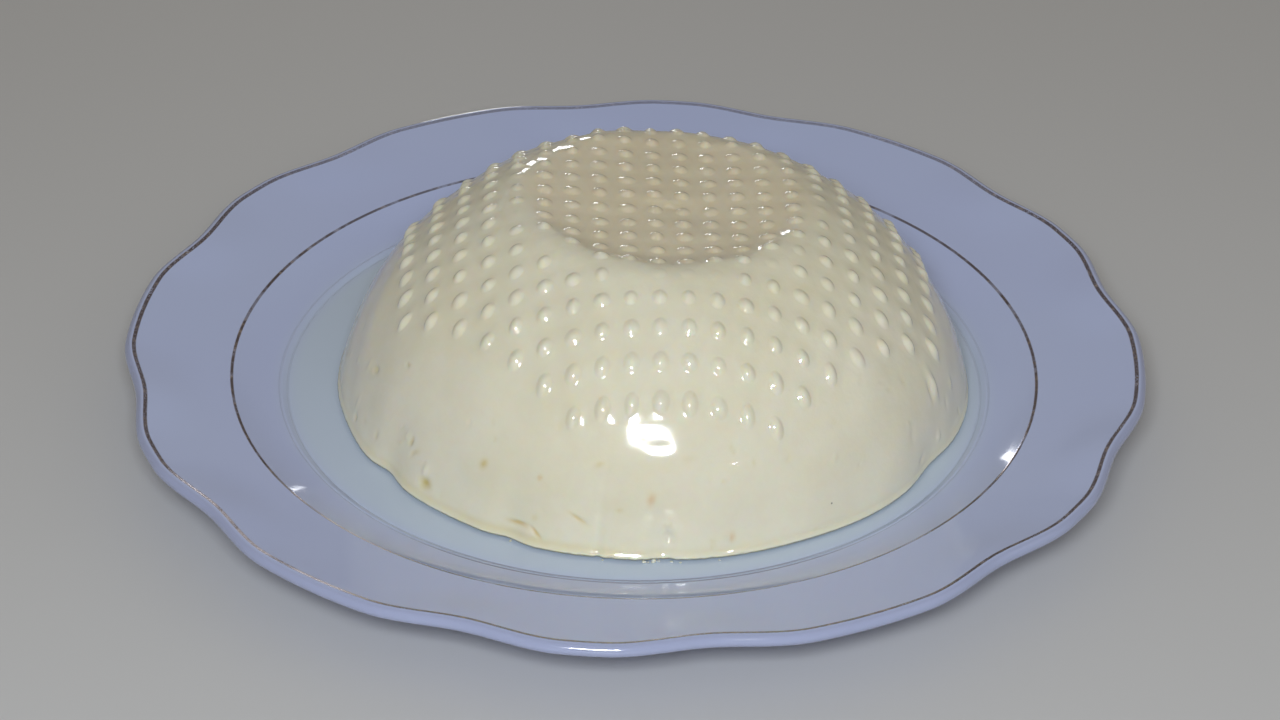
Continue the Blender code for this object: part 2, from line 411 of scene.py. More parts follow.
@dataclass(frozen=True)
class PorcelainFinish:
    """White porcelain under a clear glaze, with two gilt lines rubbed thin in places and an unglazed foot.
    """

    white: Colour = (0.49, 0.555, 0.82)
    # Painted bounce light: the well's floor round the cheese is lighter and greener.
    painted_bounce: Colour = (0.55, 0.65, 0.76)
    painted_bounce_outside: float = 6.0
    painted_bounce_inside: float = 4.0
    painted_bounce_share: float = 0.8
    clouds: Clouds = Clouds(60.0, 2.0, 0.5, 0.3, 0.7)
    cloud_share: float = 0.1
    biscuit: Colour = (0.58, 0.56, 0.52)
    biscuit_soft: float = 0.4
    gilt: Colour = (0.11, 0.075, 0.07)
    gilt_pale: Colour = (0.36, 0.28, 0.22)
    gilt_spots: Clouds = Clouds(2.2, 2.0, 0.6, 0.5, 0.75)
    # Painted glint: the gilt is mixed towards this pale colour round a point at the front left.
    painted_glint_colour: Colour = (0.86, 0.78, 0.84)
    painted_glint_at: tuple[float, float, float] = (-91.0, -96.0, 19.5)
    painted_glint_reach: float = 46.0
    painted_glint_least: float = 0.35
    painted_glint_by_wear: float = 0.6
    wear: Clouds = Clouds(11.0, 4.0, 0.65, 0.36, 0.5)
    flecks: Clouds = Clouds(0.42, 2.0, 0.7, 0.5, 0.62)
    inner_width: float = 0.78
    inner_share: float = 0.6
    inner_wear: float = 0.35
    inner_front: Fade = (-0.06, -0.1, 0.25)
    inner_back: Fade = (0.03, 0.11, 0.3)
    outer_width: float = 1.05
    outer_share: float = 0.95
    outer_flecks: float = 0.75
    outer_wear: float = 0.45
    outer_back: Fade = (0.05, 0.12, 0.5)
    groove_width: float = 0.6
    groove_shade: Colour = (0.27, 0.28, 0.36)
    groove_least: float = 0.15
    groove_front: Fade = (-0.07, -0.088, 0.75)
    lip: Colour = (0.35, 0.385, 0.56)
    lip_start: float = 0.5
    lip_full: float = 1.6
    lip_share: float = 0.8
    soft: float = 0.16
    ripple: Clouds = Clouds(24.0)
    ripple_depth: float = 0.25
    ripple_strength: float = 0.3
    roughness: float = 0.09
    biscuit_roughness: float = 0.6
    gilt_roughness: float = 0.1
    gilt_metal: float = 0.75
    specular: float = 0.5
    coat: float = 0.2
    coat_roughness: float = 0.03

    def band(self, along: Wire, middle: float, width: float) -> Wire:
        """A mask along the section.

        Args:
            along: The run along the section in millimetres.
            middle: Where the line's middle is.
            width: The line's width.

        Returns:
            1 on the line and 0 off it.
        """
        return abs(along - middle).ramp(width / 2 + self.soft, width / 2 - self.soft)

    def glaze(self, made: Nodes, along: Wire, back: Wire, runs: dict[str, float]) -> Wire:
        """The glaze's colour: white, with painted bounce light from the cheese on the well's floor, painted
        shade in the grooves strongest towards -Y, and a darker lip.

        Args:
            made: The material's nodes.
            along: The run along the section in millimetres.
            back: How far back the point is, in metres.
            runs: The run of each line.

        Returns:
            The colour.
        """
        # Painted bounce light from the cheese, on the well's floor inside the step.
        painted_bounce = along.ramp(runs["step"] + self.painted_bounce_outside, runs["step"] - self.painted_bounce_inside)
        shares = painted_bounce * self.painted_bounce_share + made.mottle(self.clouds) * self.cloud_share
        base = made.mix(self.white, self.painted_bounce, shares)
        grooves = self.band(along, runs["groove_in"], self.groove_width)
        grooves = grooves.most(self.band(along, runs["groove_out"], self.groove_width))
        shaded = grooves * (self.groove_least + back.fade(self.groove_front))
        base = made.mix(base, self.groove_shade, shaded)
        lip = along.ramp(runs["edge"] + self.lip_start, runs["edge"] + self.lip_full)
        return made.mix(base, self.lip, lip * self.lip_share)

    def gilding(self, made: Nodes, along: Wire, back: Wire, runs: dict[str, float]) -> tuple[Wire, Wire]:
        """The gilt lines, rubbed away in places and fainter towards -Y and +Y, with a painted glint that
        makes them paler towards the front left.

        Args:
            made: The material's nodes.
            along: The run along the section in millimetres.
            back: How far back the point is, in metres.
            runs: The run of each line.

        Returns:
            Their mask and their colour.
        """
        wear = made.mottle(self.wear)
        # The inner line is fainter towards -Y and +Y, set by place alone.
        front_back_fade = back.fade(self.inner_front) + back.fade(self.inner_back)
        inner = self.band(along, runs["ring"], self.inner_width)
        inner = inner * (self.inner_share + wear * self.inner_wear - front_back_fade)
        flecks = made.mottle(self.flecks) * (self.outer_flecks - wear * self.outer_wear)
        outer = self.band(along, runs["edge"], self.outer_width) * (self.outer_share - flecks)
        outer = outer * (1.0 - back.fade(self.outer_back))
        gold = made.mix(self.gilt, self.gilt_pale, made.mottle(self.gilt_spots))
        # Painted glint: paler gilt round a point at the front left, broken up by the wear pattern.
        painted_glint = made.near(self.painted_glint_at, self.painted_glint_reach) * (self.painted_glint_least + wear * self.painted_glint_by_wear)
        return inner.most(outer), made.mix(gold, self.painted_glint_colour, painted_glint)

    def material(self, runs: dict[str, float]) -> bpy.types.Material:
        """Builds the material.

        Args:
            runs: The run along the section of each line, in millimetres.

        Returns:
            The material.
        """
        made = Nodes("porcelain")
        along = made.attribute("along")
        back = made.node("ShaderNodeSeparateXYZ", None, {0: made.place()}, out="Y")
        gilt, gold = self.gilding(made, along, back, runs)
        base = made.mix(self.glaze(made, along, back, runs), gold, gilt)
        bare = along.ramp(runs["foot_in"] - self.biscuit_soft, runs["foot_in"])
        bare = bare * along.ramp(runs["foot_out"] + self.biscuit_soft, runs["foot_out"])
        return made.done({
            "Base Color": made.mix(base, self.biscuit, bare),
            "Roughness": self.roughness + bare * self.biscuit_roughness + gilt * self.gilt_roughness,
            "Metallic": gilt * self.gilt_metal,
            "Specular IOR Level": self.specular,
            "Coat Weight": self.coat - bare * self.coat,
            "Coat Roughness": self.coat_roughness,
            "Normal": made.bump(made.noise(self.ripple), self.ripple_depth, self.ripple_strength),
        })


class Relief(Enum):
    """What a flaw does to the surface."""

    PIT = -1.0
    LUMP = 1.0
    FLAT = 0.0


@dataclass(frozen=True)
class Flaw:
    """One flaw of the cheese's skin, by its azimuth and its height over the foot."""

    azimuth: float
    height: float
    relief: Relief
    size: float
    stretch: float = 1.0
    turn: float = 0.0
    depth: float = 0.5
    whey: float = 0.0
    rust: float = 0.0


@dataclass(frozen=True)
class Dome:
    """The dome's form: its section as arcs, its uneven foot, its lean, and its low unevenness."""

    centre_x: float = 4.9
    centre_y: float = -0.7
    lean_x: float = 2.45
    tilt_x: float = -0.034
    tilt_y: float = -0.038
    tall: float = 1.013
    foot_r: float = 83.9
    foot_slope: float = 78.0
    wall_arc: float = 74.7
    shoulder_slope: float = 25.0
    shoulder_arc: float = 16.0
    step_drop: float = 1.25
    step_width: float = 9.0
    step_start: float = 0.1
    step_fall: float = 2.2
    step_least: float = 0.25
    step_turn: float = 0.9
    dish: float = 0.6
    foot_waves: tuple[tuple[int, float, float], ...] = ((3, 0.25, 0.4), (7, 0.2, 1.9), (11, 0.2, 4.1))
    foot_nicks: tuple[tuple[float, float, float], ...] = (
        (216.0, 1.8, 4.0), (245.0, 1.2, 3.0), (261.0, 0.6, 0.7), (272.0, 0.9, 2.0), (330.0, 1.3, 6.0),
    )
    foot_fade: float = 9.0
    swell: float = 0.0035
    swell_lengths: tuple[float, ...] = (9.0, 11.0, 14.0, 17.0, 21.0, 26.0, 33.0, 42.0, 55.0)
    swell_phase: float = 6.28
    upright_rounds: int = 3
    seed: int = 11

    @property
    def foot_z(self) -> float:
        """The height of the foot, from the CAD solid."""
        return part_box("cheese")[0].z / MM

    @property
    def wall_r(self) -> float:
        """The radius of the wall arc's centre."""
        return self.foot_r - self.wall_arc * math.sin(math.radians(self.foot_slope))

    @property
    def wall_z(self) -> float:
        """The height of the wall arc's centre over the foot."""
        return -self.wall_arc * math.cos(math.radians(self.foot_slope))

    @property
    def crest_r(self) -> float:
        """The radius of the crest, where the shoulder is level."""
        inner = self.wall_arc - self.shoulder_arc
        return self.wall_r + inner * math.sin(math.radians(self.shoulder_slope))

    @property
    def crest_z(self) -> float:
        """The height of the shoulder arc's centre over the foot."""
        inner = self.wall_arc - self.shoulder_arc
        return self.wall_z + inner * math.cos(math.radians(self.shoulder_slope))

    @property
    def height(self) -> float:
        """The height of the crest over the foot."""
        return self.crest_z + self.shoulder_arc

    def wall(self, slope: Array) -> tuple[Array, Array]:
        """Radius and height of the wall's arc where it has this slope in degrees."""
        turn = np.radians(slope)
        return self.wall_r + self.wall_arc * np.sin(turn), self.wall_z + self.wall_arc * np.cos(turn)

    def slope_at(self, r: Array) -> Array:
        """The wall's slope in degrees at a radius."""
        return np.degrees(np.arcsin(np.clip((r - self.wall_r) / self.wall_arc, -1.0, 1.0)))

    def section(self, x: Array, y: Array) -> Array:
        """The height over the foot at a plan place of the upright dome.

        The wall is an arc, the shoulder a smaller arc that touches it, and the top a shallow dish behind
        a step, which is deepest towards -Y. The step starts softly at the crest, is steep at once and
        levels off towards the dish.

        Args:
            x: Plan places along X.
            y: Plan places along Y.

        Returns:
            The heights.
        """
        r = np.hypot(x, y)
        wall = self.wall_z + np.sqrt(np.clip(self.wall_arc**2 - (r - self.wall_r) ** 2, 0.0, None))
        over = np.clip(r - self.crest_r, 0.0, self.shoulder_arc)
        shoulder = self.crest_z + np.sqrt(self.shoulder_arc**2 - over**2)
        front = smooth(0.5 - self.step_turn * y / np.maximum(r, 1.0))
        front = self.step_least + (1.0 - self.step_least) * front
        inward = np.clip((self.crest_r - r) / self.step_width, 0.0, 1.0)
        start = self.step_start
        eased = (np.hypot(inward, start) - start) / (math.hypot(1.0, start) - start)
        step = self.step_drop * front * (1.0 - (1.0 - eased) ** self.step_fall)
        dished = self.dish * inward**2 * (1.0 - (r / self.crest_r) ** 2)
        joint = self.crest_r + self.shoulder_arc * math.sin(math.radians(self.shoulder_slope))
        return np.where(r > joint, wall, np.where(r > self.crest_r, shoulder, self.height - step - dished))

    def normal(self, x: Array, y: Array, reach: float) -> Array:
        """Outward normals of the upright dome, from the section's height differences.

        Args:
            x: Plan places along X.
            y: Plan places along Y.
            reach: How far to each side the heights are taken.

        Returns:
            The normals, with a last axis of three.
        """
        gx = (self.section(x + reach, y) - self.section(x - reach, y)) / (2 * reach)
        gy = (self.section(x, y + reach) - self.section(x, y - reach)) / (2 * reach)
        up = np.stack([-gx, -gy, np.ones_like(gx)], -1)
        return up / np.linalg.norm(up, axis=-1, keepdims=True)

    def lean(self, points: Array) -> Array:
        """Turns points of the upright dome into the row frame: drawn up a little, leant to +X and tilted.

        Args:
            points: Upright points, with a last axis of three.

        Returns:
            The points in the row frame.
        """
        share = points[..., 2] / self.height
        x = self.centre_x + self.lean_x * share + points[..., 0]
        y = self.centre_y + points[..., 1]
        tilt = share * (self.tilt_x * points[..., 0] + self.tilt_y * points[..., 1])
        return np.stack([x, y, self.foot_z + points[..., 2] * self.tall + tilt], -1)

    def upright(self, x: Array, y: Array) -> tuple[Array, Array]:
        """Undoes the lean in plan, by a few rounds of taking off the lean at the height found so far.

        Args:
            x: Plan places along X in the row frame.
            y: Plan places along Y in the row frame.

        Returns:
            The plan places of the upright dome.
        """
        left, back = x - self.centre_x, y - self.centre_y
        shift = np.zeros_like(left)
        for _ in range(self.upright_rounds):
            shift = self.lean_x * self.section(left - shift, back) / self.height
        return left - shift, back

    def foot_reach(self, azimuth: Array) -> Array:
        """How far the foot reaches past its circle: low waves less a few nicks.

        Args:
            azimuth: Angles round the dome in degrees.

        Returns:
            The reach in millimetres.
        """
        turn = np.radians(azimuth)
        reach = sum(size * np.sin(count * turn + start) for count, size, start in self.foot_waves)
        return reach - sum(deep * bell(azimuth % 360.0, at, wide) for at, deep, wide in self.foot_nicks)

    def uneven(self, points: Array) -> Array:
        """Low swells: a sum of sines of the place along seeded ways, each as high as it is long.

        Args:
            points: Row-frame points.

        Returns:
            The lift of each.
        """
        draw = np.random.default_rng(self.seed)
        lift = np.zeros(points.shape[:-1])
        for length in self.swell_lengths:
            way = draw.normal(size=3)
            way /= np.linalg.norm(way)
            start = draw.uniform(0, self.swell_phase)
            lift += self.swell * length * np.sin(2 * np.pi * (points @ way) / length + start)
        return lift


@dataclass(frozen=True)
class NubGrid:
    """The square grid of rounded nubs that the bowl's drain holes leave, in plan."""

    pitch: float = 7.13
    count: int = 20
    corner_cut: float = 13.0
    middle_x: float = 8.25
    middle_y: float = 0.0
    turn: float = 1.75
    radius: float = 2.05
    rise: float = 0.9
    steeper: float = 0.35
    flatter: float = 0.14
    roundness: float = 1.3
    radius_spread: tuple[float, float] = (0.92, 1.08)
    rise_spread: tuple[float, float] = (0.8, 1.12)
    squeeze_spread: float = 0.05
    normal_reach: float = 1.5
    disc_fade: float = 4.0
    faint_r: float = 39.8
    faint_width: float = 1.9
    faint_front: float = 0.93
    faint_back: float = 0.35
    faint_turn: float = 0.7
    seed: int = 7

    def plan(self, u: Array, v: Array) -> tuple[Array, Array]:
        """Plan places in the row frame of places on the grid.

        Args:
            u: Grid places along the grid's first way, in pitches.
            v: Grid places along its second way.

        Returns:
            The plan places along X and Y.
        """
        turn = math.radians(self.turn)
        x = self.middle_x + self.pitch * (u * math.cos(turn) - v * math.sin(turn))
        return x, self.middle_y + self.pitch * (u * math.sin(turn) + v * math.cos(turn))

    def on(self, u: Array, v: Array) -> Array:
        """True where the bowl has a drain hole: a square with its corners cut off."""
        a, b = np.abs(u), np.abs(v)
        return (np.maximum(a, b) < self.count / 2) & (a + b <= self.corner_cut)


@dataclass(frozen=True)
class SmallPits:
    """Small pits and a few small lumps that are strewn over the wall by a seeded draw."""

    count: int = 70
    lowest: float = 2.0
    spread: float = 30.0
    gather: float = 1.6
    pit_share: float = 0.75
    size: tuple[float, float] = (0.35, 0.75)
    stretch: tuple[float, float] = (1.0, 2.6)
    turn: tuple[float, float] = (80, 25)
    depth: tuple[float, float] = (0.05, 0.24)
    whey: tuple[float, float] = (0.0, 0.45)
    seed: int = 12

    def strew(self) -> list[Flaw]:
        """The flaws; they gather towards the foot, and most stretch up and down."""
        draw = np.random.default_rng(self.seed)
        return [
            Flaw(
                azimuth=float(draw.uniform(0, 360)),
                height=float(self.lowest + self.spread * draw.random() ** self.gather),
                relief=Relief.PIT if draw.random() < self.pit_share else Relief.LUMP,
                size=float(draw.uniform(*self.size)),
                stretch=float(draw.uniform(*self.stretch)),
                turn=float(draw.normal(*self.turn)),
                depth=float(draw.uniform(*self.depth)),
                whey=float(draw.uniform(*self.whey)),
            )
            for _ in range(self.count)
        ]


@dataclass
class CheeseDome:
    """The cheese: a closed skin whose nubs are rings of vertices let into a square grid."""

    dome: Dome = field(default_factory=Dome)
    nubs: NubGrid = field(default_factory=NubGrid)
    pits: SmallPits = field(default_factory=SmallPits)
    finish: CheeseFinish = field(default_factory=CheeseFinish)
    half_cells: int = 14
    cuts: int = 8
    rings: tuple[float, ...] = (0.2, 0.4, 0.6, 0.78, 0.92, 1.06)
    skirt_r: float = 80.5
    skirt_rows: int = 26
    skirt_end: float = 2.0
    grid_margin: float = 0.36
    lip_section: tuple[tuple[float, float], ...] = (
        (-0.36, 1.75), (0.1, 1.3), (0.62, 1.0), (0.95, 0.75),
        (1.0, 0.5), (0.8, 0.3), (0.0, 0.18), (-1.0, 0.0),
    )
    lip_reach: float = 0.55
    lip_least: float = 0.25
    lip_front: tuple[float, float] = (242.0, 34.0)
    lip_mean: float = 0.8
    lip_wave: float = 0.35
    lip_waves: tuple[int, int] = (5, 13)
    lip_phase: float = 0.7
    ragged_waves: tuple[int, ...] = (67, 101, 149, 211)
    ragged_least: float = 0.06
    ragged_most: float = 0.26
    ragged_front: tuple[float, float] = (268.0, 14.0)
    relief_from: float = 1.2
    relief_over: float = 3.0
    edge_whey: float = 0.3
    edge_whey_least: float = 0.25
    edge_whey_front: tuple[float, float] = (245.0, 32.0)
    edge_whey_height: tuple[float, float] = (1.9, 1.0)
    crown_past: float = 1.0
    crown_fade: float = 6.0
    crown_back: float = 12.0
    crown_turn: float = 0.7
    shade_height: float = 0.72
    shade_fade: float = 0.25
    speck_azimuth: float = 302.7
    speck_height: float = 7.4
    flaws: tuple[Flaw, ...] = (
        Flaw(201.6, 17.6, Relief.PIT, 0.95, 1.5, 10, 0.7, 0.5),
        Flaw(198.6, 16.6, Relief.LUMP, 0.5, 3.0, 84, 0.3),
        Flaw(201, 4.4, Relief.PIT, 0.8, 1.2, 80, 0.5, 0.5),
        Flaw(200.2, 7.6, Relief.LUMP, 0.45, 4.5, 84, 0.3),
        Flaw(210, 6.4, Relief.PIT, 0.45, 2.4, 80, 0.4, 0.3),
        Flaw(220, 11.4, Relief.PIT, 0.7, 1.8, 84, 0.5, 0.6),
        Flaw(221.2, 9.0, Relief.PIT, 0.5, 2.4, 60, 0.25, 0.35),
        Flaw(218.4, 11.8, Relief.LUMP, 0.45, 2.6, 84, 0.25),
        Flaw(211, 24.5, Relief.PIT, 0.6, 1.2, 0, 0.3, 0.3),
        Flaw(213, 13.0, Relief.LUMP, 0.5, 2.0, 85, 0.12),
        Flaw(216.5, 13.0, Relief.PIT, 0.4, 1.6, 85, 0.15, 0.1),
        Flaw(232, 21.6, Relief.PIT, 0.5, 2.0, 75, 0.3),
        Flaw(238.5, 20.6, Relief.PIT, 0.5, 1.0, 0, 0.3, 0.3),
        Flaw(237.7, 15.0, Relief.FLAT, 1.0, 1.3, 60, 0.0, 0.8),
        Flaw(226, 4.6, Relief.PIT, 1.5, 1.2, 0, 0.6, 1.0),
        Flaw(225.4, 7.5, Relief.LUMP, 0.8, 2.0, 80, 0.4),
        Flaw(249, 15.8, Relief.FLAT, 0.55, 1.2, 60, 0.0, 0.3, 0.5),
        Flaw(246.4, 4.6, Relief.PIT, 0.5, 4.6, 3, 0.6, 0.8, 0.4),
        Flaw(250, 3.6, Relief.PIT, 0.45, 3.8, -42, 0.7, 0.8, 0.3),
        Flaw(248.2, 2.7, Relief.LUMP, 1.3, 1.7, 10, 0.5),
        Flaw(250.8, 1.9, Relief.PIT, 0.45, 2.6, 88, 0.5, 0.3),
        Flaw(257, 8.6, Relief.PIT, 0.42, 5.0, -28, 0.3, 0.8),
        Flaw(264, 11.4, Relief.FLAT, 0.5, 1.6, 0, 0.0, 0.5),
        Flaw(269.5, 14.1, Relief.FLAT, 0.9, 1.6, 80, 0.0, 0.2, 0.6),
        Flaw(272.6, 8.6, Relief.LUMP, 0.6, 1.0, 0, 0.45),
        Flaw(272.9, 5.6, Relief.PIT, 0.95, 1.6, 100, 1.15),
        Flaw(276, 22.7, Relief.FLAT, 0.8, 2.0, 0, 0.0, 0.2),
        Flaw(283.8, 4.6, Relief.FLAT, 0.7, 1.8, 80, 0.0, 0.1, 0.6),
        Flaw(304.8, 17.3, Relief.LUMP, 0.7, 1.7, 60, 0.25, 0.15),
        Flaw(310, 13.7, Relief.PIT, 0.3, 2.0, 80, 0.2),
        Flaw(336.4, 18.8, Relief.LUMP, 1.0, 3.6, 86, 0.85),
        Flaw(334.7, 18.2, Relief.PIT, 0.8, 3.4, 80, 0.5),
        Flaw(344, 13.5, Relief.LUMP, 0.8, 2.0, 80, 0.35),
        Flaw(334, 6.0, Relief.LUMP, 0.8, 1.6, 80, 0.4),
        Flaw(325, 13.0, Relief.PIT, 1.2, 1.6, 70, 0.25),
        Flaw(327, 4.5, Relief.PIT, 1.0, 1.6, 20, 0.3),
        Flaw(270.6, 25.0, Relief.PIT, 1.4, 2.2, 0, 0.11),
        Flaw(267.2, 27.3, Relief.LUMP, 0.9, 1.0, 0, 0.04),
    )

    def grid(self) -> tuple[Array, Array]:
        """Grid places u and v, in pitches, of every crossing of the square grid."""
        steps = np.arange(-self.half_cells * self.cuts, self.half_cells * self.cuts + 1) / self.cuts
        return np.meshgrid(steps, steps, indexing="ij")

    def gauge(self, u: Array, v: Array, sides: list[tuple[float, float, float]]) -> Array:
        """How far out a grid place is, against a convex outline seen from the dome's centre.

        Args:
            u: Grid places along the grid's first way.
            v: Grid places along its second way.
            sides: The outline's sides, each as (a, b, c) of a*u + b*v = c.

        Returns:
            0 at the dome's centre, 1 on the outline, in proportion along each ray.
        """
        cu, cv = self.dome_centre()
        rays = [(a * (u - cu) + b * (v - cv)) / (c - a * cu - b * cv) for a, b, c in sides]
        return np.max(np.stack(rays), axis=0)

    def dome_centre(self) -> tuple[float, float]:
        """The dome's centre on the grid.

        Returns:
            The grid place u, v over the centre, halfway up the wall.
        """
        turn = math.radians(self.nubs.turn)
        dx = self.dome.centre_x + self.dome.lean_x / 2 - self.nubs.middle_x
        dy = self.dome.centre_y - self.nubs.middle_y
        u = (dx * math.cos(turn) + dy * math.sin(turn)) / self.nubs.pitch
        return u, (dy * math.cos(turn) - dx * math.sin(turn)) / self.nubs.pitch

    def crown_plan(self, u: Array, v: Array) -> tuple[Array, Array]:
        """Upright plan places of grid places.

        Inside the nubs' outline the grid lies true. From there to the grid's own square edge it is drawn
        in along each ray, in equal steps of the wall's slope, so that the edge lies on the skirt's circle.

        Args:
            u: Grid places along the grid's first way.
            v: Grid places along its second way.

        Returns:
            The plan places along X and Y.
        """
        x, y = self.dome.upright(*self.nubs.plan(u, v))
        reach = self.nubs.count / 2 - 0.5 + self.grid_margin
        cut = self.nubs.corner_cut + self.grid_margin * math.sqrt(2.0)
        square = [(1, 0), (-1, 0), (0, 1), (0, -1)]
        inner = [(a, b, reach) for a, b in square] + [(a, b, cut) for a in (1, -1) for b in (1, -1)]
        within = np.maximum(self.gauge(u, v, inner), TINY)
        edge = np.maximum(self.gauge(u, v, [(a, b, self.half_cells) for a, b in square]), TINY)
        r = np.maximum(np.hypot(x, y), TINY)
        share = np.clip((1.0 - 1.0 / within) / np.maximum(1.0 / edge - 1.0 / within, TINY), 0.0, 1.0)
        start = self.dome.slope_at(r / within)
        end = float(self.dome.slope_at(np.array(self.skirt_r)))
        drawn, _ = self.dome.wall(start + (end - start) * share)
        scale = np.where(within > 1.0, drawn / r, 1.0)
        return x * scale, y * scale

    def stand(self, x: Array, y: Array) -> Array:
        """Points of the upright dome at plan places."""
        return np.stack([x, y, self.dome.section(x, y)], -1)

    def nub_rings(self) -> tuple[Array, Array, Array]:
        """The vertices of every nub.

        Each nub is round in plan and stands out along the normal. It is (1 - t^2)^roundness of its rise
        high at t radii from its middle, and rises a little more where the wall is steep.

        Returns:
            The cells' places (n, 2) in the grid, the vertices (n, rings * sides + 1, 3) with the middle
            last, and how high each stands as a share of its nub's rise.
        """
        nubs = self.nubs
        low = -nubs.count // 2
        cells = np.stack(np.meshgrid(*[np.arange(low, -low)] * 2, indexing="ij"), -1).reshape(-1, 2)
        u, v = (cells + 0.5).T
        keep = nubs.on(u, v)
        draw = np.random.default_rng(nubs.seed)
        spread = draw.uniform(*nubs.radius_spread, len(cells))
        rise = draw.uniform(*nubs.rise_spread, len(cells))
        squeeze = draw.normal(1.0, nubs.squeeze_spread, len(cells))
        cells, u, v, spread, rise, squeeze = (a[keep] for a in (cells, u, v, spread, rise, squeeze))
        x, y = self.dome.upright(*nubs.plan(u, v))
        r = np.hypot(x, y)
        front = smooth(nubs.faint_turn - y / r)
        most = nubs.faint_back + (nubs.faint_front - nubs.faint_back) * front
        faint = 1.0 - most * bell(r, nubs.faint_r, nubs.faint_width)
        way = self.dome.normal(x, y, nubs.normal_reach)
        steep = 1.0 - way[:, 2]
        sides = 2 * self.cuts
        angle = 2 * np.pi * np.arange(sides) / sides + math.radians(nubs.turn)
        t = np.array([*np.repeat(self.rings, sides), 0.0])
        angles = np.array([*np.tile(angle, len(self.rings)), 0.0])
        disc = nubs.flatter * smooth((self.dome.crest_r - r) / nubs.disc_fade)
        out = t[None] * nubs.radius * (spread * (1.0 + disc))[:, None]
        px = x[:, None] + out * np.cos(angles) * squeeze[:, None]
        py = y[:, None] + out * np.sin(angles) / squeeze[:, None]
        lift = (nubs.rise * rise * faint * (1.0 + nubs.steeper * steep - disc))[:, None]
        shape = np.clip(1.0 - t**2, 0.0, 1.0) ** nubs.roundness
        points = self.stand(px, py) + (lift * shape)[..., None] * way[:, None, :]
        return cells, points, faint[:, None] * shape

    def crown_faces(self, cells: Array, size: int) -> list[Array]:
        """Faces of the crown: plain quads, and for each nub a fan, bands between its rings, and a collar.

        Args:
            cells: The grid places of the nubs' cells.
            size: How many vertices one side of the square grid has.

        Returns:
            The faces; vertices of the nubs are counted on from those of the grid.
        """
        node = np.arange(size * size).reshape(size, size)
        quads = np.stack([node[:-1, :-1], node[1:, :-1], node[1:, 1:], node[:-1, 1:]], -1)
        plain = np.ones(quads.shape[:2], bool)
        corner = (cells + self.half_cells) * self.cuts
        inside = np.arange(self.cuts)
        plain[(corner[:, :1] + inside)[:, :, None], (corner[:, 1:] + inside)[:, None]] = False
        sides, rings = 2 * self.cuts, len(self.rings)
        first = size * size + np.arange(len(cells)) * (rings * sides + 1)
        k = np.arange(sides)
        after = (k + 1) % sides
        fan = np.stack([np.full(sides, rings * sides), k, after], -1)
        level = (np.arange(rings - 1) * sides)[:, None]
        below = level + sides
        bands = np.stack([level + k, below + k, below + after, level + after], -1).reshape(-1, 4)
        last = (rings - 1) * sides
        half = self.cuts // 2
        edge = np.arange(-half, half)
        full = np.full(self.cuts, half)
        loop_u = np.concatenate([full, -edge, -full, edge])
        loop_v = np.concatenate([edge, full, -edge, -full])
        loop = np.roll(np.stack([loop_u, loop_v], -1), -half, axis=0) + half
        rim = node[corner[:, :1] + loop[:, 0], corner[:, 1:] + loop[:, 1]]
        own = first[:, None] + last
        near, mid, far = rim[:, 2 * k], rim[:, 2 * k + 1], rim[:, (2 * k + 2) % (2 * sides)]
        collar = [
            np.stack([own + k, near, mid], -1),
            np.stack([own + k, mid, own + after], -1),
            np.stack([own + after, mid, far], -1),
        ]
        return [
            quads[plain],
            (first[:, None, None] + fan).reshape(-1, 3),
            (first[:, None, None] + bands).reshape(-1, 4),
            *[c.reshape(-1, 3) for c in collar],
        ]

    def foot_rows(self, azimuth: Array) -> Array:
        """Rows of the skirt and the lip, from the crown's edge down and in under the foot.

        The skirt goes on down the wall's arc in equal steps of slope. The lip is a thin flash with a
        crease over it, which reaches out unevenly and is ragged towards -Y.

        Args:
            azimuth: The azimuth of each vertex of the crown's edge, in radians.

        Returns:
            Upright points, shape (rows, vertices, 3).
        """
        start = float(self.dome.slope_at(np.array(self.skirt_r)))
        slopes = np.linspace(start, self.dome.foot_slope, self.skirt_rows + 1)[1:-1]
        degrees = np.degrees(azimuth) % 360.0
        share = self.lip_least + (1.0 - self.lip_least) * bell(degrees, *self.lip_front)
        few, many = self.lip_waves
        wave = self.lip_wave * np.sin(few * azimuth + self.lip_phase) * np.sin(many * azimuth)
        reach = self.lip_reach * share * (self.lip_mean + wave)
        ragged = sum(np.sin(n * azimuth + n) for n in self.ragged_waves) / len(self.ragged_waves)
        reach = reach + ragged * (self.ragged_least + self.ragged_most * bell(degrees, *self.ragged_front))
        rows = [(a, b) for a, b in zip(*self.dome.wall(slopes)) if b > self.skirt_end]
        foot_r = self.dome.foot_r
        rows += [(foot_r + max(out, 0.0) * reach + min(out, 0.0), high) for out, high in self.lip_section]
        return np.stack([round_axis(a + np.zeros_like(azimuth), azimuth, b) for a, b in rows])

    def draw_foot(self, points: Array) -> Array:
        """Draws the foot in and out by its waves and nicks, fading with height over the foot.

        Args:
            points: Upright points.

        Returns:
            The points, moved along their own radius.
        """
        azimuth = np.degrees(np.arctan2(points[..., 1], points[..., 0]))
        r = np.hypot(points[..., 0], points[..., 1])
        share = np.exp(-points[..., 2] / self.dome.foot_fade) * (r > self.dome.foot_r / 2)
        scale = 1.0 + share * self.dome.foot_reach(azimuth) / np.maximum(r, 1.0)
        return points * np.stack([scale, scale, np.ones_like(scale)], -1)

    def on_wall(self, azimuth: float, height: float) -> tuple[Array, Array]:
        """A point of the wall.

        Args:
            azimuth: Its angle round the dome in degrees.
            height: Its height over the foot.

        Returns:
            Its place in the row frame and its outward normal.
        """
        slope = math.degrees(math.acos((height - self.dome.wall_z) / self.dome.wall_arc))
        r, _ = self.dome.wall(np.array(slope))
        turn, lean = math.radians(azimuth), math.radians(slope)
        point = np.array([r * math.cos(turn), r * math.sin(turn), height])
        normal = np.array([math.sin(lean) * math.cos(turn), math.sin(lean) * math.sin(turn), math.cos(lean)])
        return self.dome.lean(self.draw_foot(point)), normal

